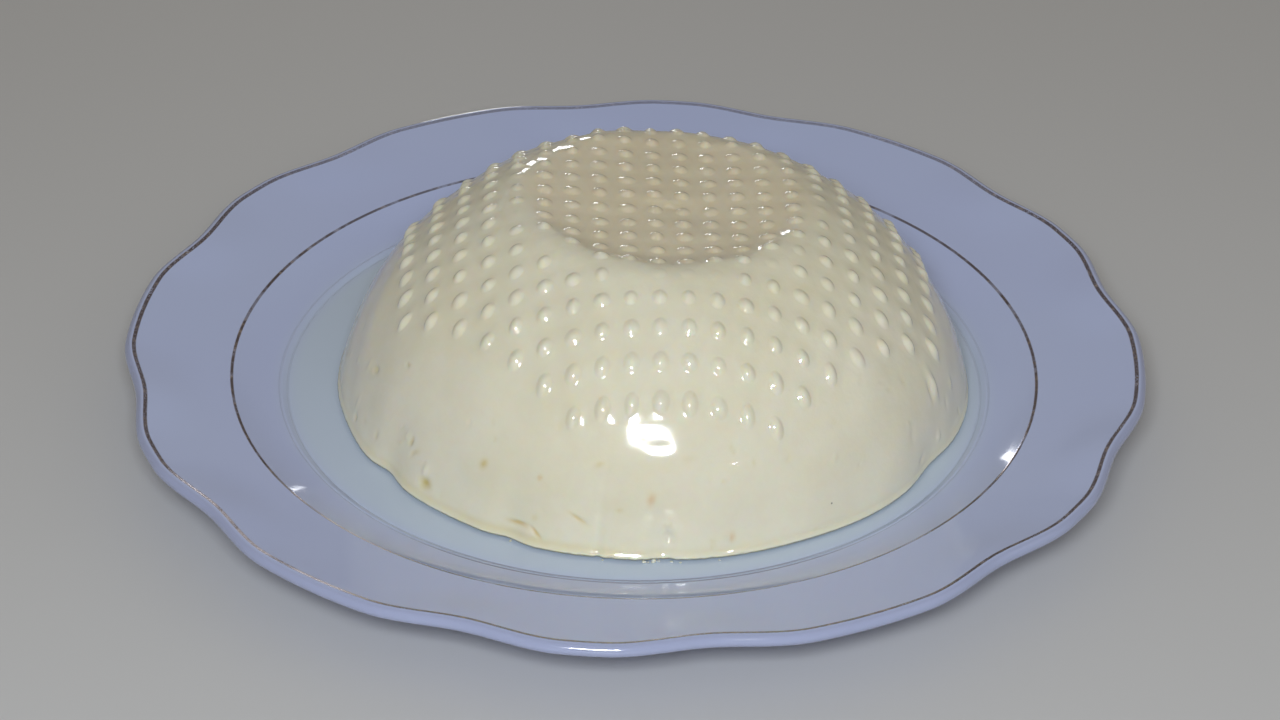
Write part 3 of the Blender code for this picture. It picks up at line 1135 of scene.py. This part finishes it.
    def blemish(self, points: Array) -> tuple[Array, dict[str, Array]]:
        """The flaws' lift and stains.

        Each flaw is a bell of its distance along and across its own way in the skin's plane.

        Args:
            points: Row-frame points.

        Returns:
            The lift along the normal, and the whey, rust and dull values of each point.
        """
        lift, whey, rust, dull = (np.zeros(len(points)) for _ in range(4))
        for flaw in [*self.flaws, *self.pits.strew()]:
            place, normal = self.on_wall(flaw.azimuth, flaw.height)
            level = np.cross([0.0, 0.0, 1.0], normal)
            level /= np.linalg.norm(level)
            rise = np.cross(normal, level)
            turn = math.radians(flaw.turn)
            along = math.cos(turn) * level + math.sin(turn) * rise
            across = math.cos(turn) * rise - math.sin(turn) * level
            gap = points - place
            far = ((gap @ along) / (flaw.size * flaw.stretch)) ** 2 + ((gap @ across) / flaw.size) ** 2
            far += ((gap @ normal) / (FLAW_DEPTH * flaw.size)) ** 2
            shape = np.exp(-far)
            lift += flaw.relief.value * flaw.depth * shape
            whey = np.maximum(whey, flaw.whey * shape)
            rust = np.maximum(rust, flaw.rust * shape)
            dull = np.maximum(dull, shape * (flaw.relief is Relief.PIT) * min(1.0, flaw.depth))
        return lift, {"whey": whey, "rust": rust, "dull": dull}

    def tints(self, upright: Array, turn: Array, r: Array) -> dict[str, Array]:
        """What the finish reads of each point: the damp edge, the duller crown and the shaded contact line.

        Args:
            upright: Upright points (n, 3).
            turn: Their angles round the dome in radians.
            r: Their radii.

        Returns:
            The values, from 0 to 1.
        """
        z = upright[:, 2]
        damp = bell(np.degrees(turn) % 360.0, *self.edge_whey_front)
        damp = self.edge_whey_least + (1.0 - self.edge_whey_least) * damp
        back = smooth(0.5 + self.crown_turn * upright[:, 1] / np.maximum(r, 1.0)) * (r > 1.0)
        past = self.dome.crest_r + self.crown_past + self.crown_back * back - r
        return {
            "whey": self.edge_whey * damp * bell(z, *self.edge_whey_height),
            "crown": smooth(past / (self.crown_fade + self.crown_back * back)),
            "shade": smooth((self.shade_height - z) / self.shade_fade),
        }

    def build(self) -> bpy.types.Object:
        """Builds the closed skin of the cheese.

        Returns:
            The piece, which stands for the CAD node.
        """
        u, v = self.grid()
        size = u.shape[0]
        grid = self.stand(*self.crown_plan(u, v)).reshape(-1, 3)
        cells, rings, raised = self.nub_rings()
        node = np.arange(size * size).reshape(size, size)
        edge = np.concatenate([node[:-1, 0], node[-1, :-1], node[:0:-1, -1], node[0, :0:-1]])
        rows = self.foot_rows(np.arctan2(grid[edge, 1], grid[edge, 0]))
        count = len(grid) + rings[..., 0].size
        middle = count + rows[..., 0].size
        ids = np.concatenate([edge[None], np.arange(count, middle).reshape(len(rows), -1)])
        faces = [*self.crown_faces(cells, size), hoops(ids), *lids(ids, None, middle)]
        flat = np.concatenate([grid, rings.reshape(-1, 3), rows.reshape(-1, 3), np.zeros((1, 3))])
        points = self.dome.lean(self.draw_foot(flat))
        lift, values = self.blemish(points)
        r = np.hypot(flat[:, 0], flat[:, 1])
        turn = np.arctan2(flat[:, 1], flat[:, 0])
        slope = np.radians(np.where(r > self.dome.crest_r, self.dome.slope_at(r), 0.0))
        outward = round_axis(np.sin(slope), turn, np.cos(slope))
        fade = smooth((flat[:, 2] - self.relief_from) / self.relief_over)
        points = points + outward * ((lift + self.dome.uneven(points)) * fade)[:, None]
        tints = self.tints(flat, turn, r)
        tints["whey"] = np.maximum(values["whey"], tints["whey"])
        nub = np.zeros(len(flat))
        nub[len(grid) : count] = raised.ravel()
        speck, _ = self.on_wall(self.speck_azimuth, self.speck_height)
        finish = self.finish.material(tuple(speck))
        piece = mesh_piece("cheese_dome", points, faces, {**values, **tints, "nub": nub}, finish)
        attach(piece, "root")
        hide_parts("cheese")
        return piece


@dataclass
class Crumbs:
    """Small crumbs of cheese that lie against its foot, mostly towards -Y."""

    cheese: CheeseDome
    places: tuple[tuple[float, float], ...] = (
        (268.9, 0.5), (269.6, 0.35), (270.5, 0.6), (271.3, 0.4), (273.5, 0.5), (275.0, 0.3), (262.0, 0.3),
        (281.5, 0.3), (245.5, 0.35), (20.0, 0.4), (64.0, 0.35), (118.0, 0.5), (151.0, 0.35),
    )
    rows: int = 9
    sides: int = 14
    swells: int = 4
    swell: float = 0.16
    swell_pitch: float = 2.2
    swell_phase: float = 6.0
    squash: tuple[float, float, float] = (1.1, 0.9, 0.7)
    settle: float = 0.85
    gap: float = 0.55
    gap_growth: float = 0.35
    sink: float = 0.3
    whey: float = 0.12
    seed: int = 5

    def ball(self) -> tuple[Array, list[Array]]:
        """A ball of radius 1 in two angles.

        Returns:
            Its vertices, with the two poles last, and its faces.
        """
        polar = np.pi * np.arange(1, self.rows) / self.rows
        turns = 2 * np.pi * np.arange(self.sides) / self.sides
        a, b = np.meshgrid(polar, turns, indexing="ij")
        rings = round_axis(np.sin(a), b, np.cos(a)).reshape(-1, 3)
        ids = np.arange(len(rings)).reshape(self.rows - 1, self.sides)
        points = np.concatenate([rings, [[0.0, 0.0, 1.0], [0.0, 0.0, -1.0]]])
        return points, [hoops(ids), *lids(ids, len(rings), len(rings) + 1)]

    def build(self, finish: bpy.types.Material) -> bpy.types.Object:
        """Builds the crumbs as one mesh of closed blobs.

        Each is a ball whose radius is uneven by sines of its place, squashed and flattened on the plate.

        Args:
            finish: The cheese's material.

        Returns:
            The piece.
        """
        draw = np.random.default_rng(self.seed)
        ball, sheets = self.ball()
        points, faces = [], []
        dome = self.cheese.dome
        for number, (azimuth, size) in enumerate(self.places):
            ways = draw.normal(size=(self.swells, 3))
            starts = draw.uniform(0, self.swell_phase, self.swells)
            uneven = 1.0 + self.swell * np.sin(ball @ ways.T * self.swell_pitch + starts).sum(axis=1)
            blob = ball * uneven[:, None] * size * np.array(self.squash)
            blob[:, 2] = np.maximum(blob[:, 2] - blob[:, 2].min() * self.settle, 0.0)
            turn = math.radians(azimuth)
            r = dome.foot_r + float(dome.foot_reach(np.array(azimuth))) + self.gap + self.gap_growth * size
            place = dome.lean(np.array([r * math.cos(turn), r * math.sin(turn), 0.0]))
            place[2] = dome.foot_z - self.sink
            points.append(blob + place)
            faces += [sheet + number * len(ball) for sheet in sheets]
        whole = np.concatenate(points)
        values = {"whey": np.full(len(whole), self.whey), "nub": np.ones(len(whole))}
        piece = mesh_piece("foot_crumbs", whole, faces, values, finish)
        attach(piece, "root")
        return piece


@dataclass
class Plate:
    """The plate: a turned section with a double ridge, a rolled lip and a foot ring, its rim scalloped."""

    crest_r: float = 135.1
    notch_depth: float = 3.0
    notch_groups: int = 6
    notch_angles: tuple[float, float] = (12.6, 38.1)
    notch_half_width: float = 10.7
    scallop_start: float = 112.0
    scallop_full: float = 131.0
    floor_z: float = 8.0
    step_in: float = 92.2
    step_out: float = 94.6
    step_rise: float = 0.85
    cove_straight: float = 0.62
    ring_r: float = 106.9
    ring_z: float = 13.4
    rim_sag: float = 0.2
    lip_radius: float = 1.7
    lip_z: float = 18.3
    thickness: float = 3.8
    foot_outer: float = 82.5
    foot_inner: float = 79.0
    foot_bevel: tuple[float, float] = (0.1, 0.12)
    foot_flat: float = 0.6
    underside: float = 3.4
    groove_depth: float = 0.16
    groove_width: float = 0.26
    groove_in: float = 0.25
    groove_out: float = 0.1
    edge_inset: float = 2.5
    floor_rows: tuple[float, ...] = (0.3, 25.0, 50.0, 70.0, 80.0, 86.0, 90.0, 91.4)
    fine_rows: tuple[tuple[float, float, int], ...] = ((91.9, 95.1, 27), (96.0, 106.0, 9), (106.4, 107.6, 5))
    rim_rows: tuple[float, float, int] = (108.6, 1.0, 16)
    lip_rows: int = 15
    rim_below: tuple[tuple[float, float], ...] = ((128.0, 14.9), (118.0, 12.1))
    bend_out: float = 2.0
    cove_below: tuple[tuple[float, float], ...] = (
        (101.0, 7.1), (93.6, 4.75), (88.0, 3.75), (85.2, 3.35), (84.2, 2.8), (83.4, 1.5), (82.9, 0.5),
    )
    well_below: tuple[tuple[float, float], ...] = (
        (78.6, 0.6), (77.6, 2.2), (76.6, 2.75), (74.0, 2.95), (50.0, 3.3),
    )
    middle_rows: tuple[float, float] = (20.0, 0.3)
    steps: int = 720
    finish: PorcelainFinish = field(default_factory=PorcelainFinish)

    @property
    def lip_r(self) -> float:
        """The radius of the rolled lip's middle."""
        return self.crest_r - self.lip_radius

    def top(self, r: Array) -> Array:
        """The height of the upper face.

        The floor is level. A smooth step lifts it, a hollow curve climbs to the ring, and the rim goes on
        less steeply and a little hollow to the lip. Two fine grooves edge the step.

        Args:
            r: Radii of the section.

        Returns:
            The heights.
        """
        rim = self.lip_z + self.lip_radius - self.ring_z
        step = self.step_rise * smooth((r - self.step_in) / (self.step_out - self.step_in))
        climb = self.ring_z - self.floor_z - self.step_rise
        share = np.clip((r - self.step_out) / (self.ring_r - self.step_out), 0.0, 1.0)
        cove = climb * (self.cove_straight * share + (1.0 - self.cove_straight) * share**2)
        out = (r - self.ring_r) / (self.lip_r - self.ring_r)
        outside = self.ring_z + rim * out - self.rim_sag * 4.0 * out * (1.0 - out)
        z = np.where(r < self.ring_r, self.floor_z + step + cove, outside)
        for middle in (self.step_in + self.groove_in, self.step_out - self.groove_out):
            z = z - self.groove_depth * bell(r, middle, self.groove_width)
        return z

    def foot(self) -> list[tuple[float, float]]:
        """The foot ring's own points of the section, from outside to inside.

        Returns:
            Their radii and heights. The foot is unglazed between the two that touch the table.
        """
        outer, inner, flat = self.foot_outer, self.foot_inner, self.foot_flat
        side, rise = self.foot_bevel
        return [(outer - side, rise), (outer - flat, 0.0), (inner + flat, 0.0), (inner + side, rise)]

    def section(self) -> tuple[Array, dict[str, float]]:
        """The section from the middle of the top round to the middle of the underside.

        Returns:
            Its points (n, 2) as radius and height, and the runs along it of the lines that it carries.
        """
        start, short, count = self.rim_rows
        rows = [np.linspace(*span) for span in self.fine_rows]
        rows = [self.floor_rows, *rows, np.linspace(start, self.lip_r - short, count)]
        r = np.concatenate(rows)
        face = np.stack([r, self.top(r)], -1)
        slope = math.atan2(self.lip_z + self.lip_radius - self.ring_z, self.lip_r - self.ring_r)
        turn = np.linspace(slope, slope - math.pi, self.lip_rows)
        wide, high = self.lip_radius * np.sin(turn), self.lip_radius * np.cos(turn)
        roll = np.stack([self.lip_r - wide, self.lip_z + high], -1)
        bend = (self.ring_r + self.bend_out, self.ring_z - self.thickness)
        outside = [*self.rim_below, bend, *self.cove_below]
        middle = [(at, self.underside) for at in self.middle_rows]
        points = np.concatenate([face, roll, [*outside, *self.foot(), *self.well_below, *middle]])
        run = np.concatenate([[0.0], np.cumsum(np.linalg.norm(np.diff(points, axis=0), axis=1))])
        foot = len(face) + len(roll) + len(outside) + 1
        upper = slice(len(face) + 1)
        lines = {
            "step": self.step_in,
            "groove_in": self.step_in + self.groove_in,
            "groove_out": self.step_out - self.groove_out,
            "ring": self.ring_r,
            "edge": self.crest_r - self.edge_inset,
        }
        named = {name: float(np.interp(at, points[upper, 0], run[upper])) for name, at in lines.items()}
        return points, {**named, "foot_in": float(run[foot]), "foot_out": float(run[foot + 1])}

    def pull(self, angle: Array) -> Array:
        """How far the rim is drawn in: the full depth at a notch, none on a crest.

        Args:
            angle: Angles round the plate in degrees.

        Returns:
            The depths.
        """
        group = 360.0 / self.notch_groups
        gaps = [np.abs((angle - notch + group / 2) % group - group / 2) for notch in self.notch_angles]
        return self.notch_depth * (1.0 - smooth(np.min(gaps, axis=0) / self.notch_half_width))

    def build(self) -> bpy.types.Object:
        """Builds the plate: the section carried round the axis, the rim drawn in at the notches.

        Returns:
            The piece, which stands for the CAD node.
        """
        section, runs = self.section()
        angle = 360.0 * np.arange(self.steps) / self.steps
        r, turn = np.meshgrid(section[:, 0], angle, indexing="ij")
        share = smooth((r - self.scallop_start) / (self.scallop_full - self.scallop_start))
        drawn = r - share * self.pull(turn)
        points = round_axis(drawn, np.radians(turn), section[:, 1:]).reshape(-1, 3)
        ids = np.arange(len(points)).reshape(len(section), self.steps)
        middles = np.array([[0.0, 0.0, section[0, 1]], [0.0, 0.0, section[-1, 1]]])
        faces = [hoops(ids), *lids(ids, len(points), len(points) + 1)]
        run = np.concatenate([[0.0], np.cumsum(np.linalg.norm(np.diff(section, axis=0), axis=1))])
        values = {"along": np.concatenate([np.repeat(run, self.steps), [0.0, run[-1]]])}
        whole = np.concatenate([points, middles])
        piece = mesh_piece("scalloped_plate", whole, faces, values, self.finish.material(runs))
        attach(piece, "root")
        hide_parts("plate")
        return piece


class Light(Enum):
    """What a lamp does: it shades, it shines as a highlight, or both."""

    BOTH = "both"
    SHADE = "shade"
    SHINE = "shine"


@dataclass(frozen=True)
class Lamp:
    """One area lamp, aimed at the cheese."""

    name: str
    place: tuple[float, float, float]
    size: tuple[float, float]
    watts: float
    colour: Colour = (1.0, 1.0, 1.0)
    use: Light = Light.BOTH


@dataclass
class Studio:
    """The plain pale floor, the soft studio light and the camera."""

    camera_place: tuple[float, float, float] = (1.47, -715.1, 471.4)
    look_down: float = 32.686
    roll: float = 0.925
    lens: float = 89.4
    sensor: float = 36.0
    floor_size: float = 6000.0
    floor_colour: Colour = (0.62, 0.62, 0.62)
    floor_deeper: float = 0.96
    floor_clouds: Clouds = Clouds(400.0)
    floor_roughness: float = 0.7
    sky: Colour = (1.0, 0.92, 0.80)
    sky_strength: float = 0.24
    aim: tuple[float, float, float] = (5.0, 0.0, 35.0)
    lamps: tuple[Lamp, ...] = (
        Lamp("key", (-24.0, -740.0, 566.0), (240.0, 150.0), 4.2, (0.94, 1.0, 1.07), Light.SHADE),
        Lamp("window", (-34.0, -791.0, 496.0), (250.0, 60.0), 13.5, (0.97, 1.0, 1.03), Light.SHINE),
        Lamp("side", (800.0, -300.0, 500.0), (500.0, 500.0), 0.32),
        Lamp("behind", (0.0, 800.0, 600.0), (900.0, 500.0), 0.1),
        Lamp("glint", (440.0, -830.0, 346.0), (20.0, 20.0), 0.06, (1.0, 1.0, 1.0), Light.SHINE),
        Lamp("spark", (-165.0, 1440.0, 245.0), (120.0, 190.0), 0.75, (0.95, 0.97, 1.0), Light.SHINE),
    )

    def floor(self) -> bpy.types.Object:
        """Builds the floor, which isn't part of the object.

        Returns:
            The floor.
        """
        half = self.floor_size / 2
        corners = np.array([[-half, -half, 0.0], [half, -half, 0.0], [half, half, 0.0], [-half, half, 0.0]])
        made = Nodes("pale_floor")
        deeper = tuple(c * self.floor_deeper for c in self.floor_colour)
        tone = made.mix(self.floor_colour, deeper, made.noise(self.floor_clouds))
        finish = made.done({"Base Color": tone, "Roughness": self.floor_roughness})
        floor = mesh_piece("floor", corners, [np.array([[0, 1, 2, 3]])], {}, finish)
        return floor

    def camera(self) -> bpy.types.Object:
        """Sets up the camera at the photograph's view.

        Returns:
            The camera.
        """
        data = bpy.data.cameras.new("camera")
        data.lens = self.lens
        data.sensor_width = self.sensor
        made = bpy.data.objects.new("camera", data)
        place = Matrix.Translation([c * MM for c in self.camera_place])
        tilt = Euler((math.radians(90.0 - self.look_down), 0.0, 0.0)).to_matrix().to_4x4()
        made.matrix_world = place @ tilt @ Matrix.Rotation(math.radians(self.roll), 4, "Z")
        bpy.context.scene.collection.objects.link(made)
        bpy.context.scene.camera = made
        return made

    def light(self) -> None:
        """Adds the lamps and the even light of the world."""
        for lamp in self.lamps:
            data = bpy.data.lights.new(lamp.name, "AREA")
            data.shape = "RECTANGLE"
            data.size, data.size_y = (side * MM for side in lamp.size)
            data.energy = lamp.watts
            data.color = lamp.colour
            made = bpy.data.objects.new(lamp.name, data)
            made.location = [c * MM for c in lamp.place]
            away = np.array(lamp.place) - np.array(self.aim)
            heading = math.atan2(away[0], -away[1])
            lift = math.atan2(math.hypot(away[0], away[1]), away[2])
            made.rotation_euler = (lift, 0.0, heading)
            made.visible_diffuse = lamp.use is not Light.SHINE
            made.visible_glossy = lamp.use is not Light.SHADE
            bpy.context.scene.collection.objects.link(made)
        world = bpy.data.worlds.new("studio")
        world.use_nodes = True
        background = world.node_tree.nodes["Background"]
        background.inputs["Color"].default_value = (*self.sky, 1.0)
        background.inputs["Strength"].default_value = self.sky_strength
        bpy.context.scene.world = world


def main() -> None:
    """Builds the plate, the cheese and the crumbs, then the studio round them."""
    logging.basicConfig(level=logging.INFO, format="%(name)s: %(message)s")
    Plate().build()
    cheese = CheeseDome()
    skin = cheese.build()
    Crumbs(cheese).build(skin.data.materials[0])
    studio = Studio()
    studio.floor()
    studio.light()
    studio.camera()
    bpy.context.scene.view_settings.view_transform = "Standard"


if __name__ == "__main__":
    main()
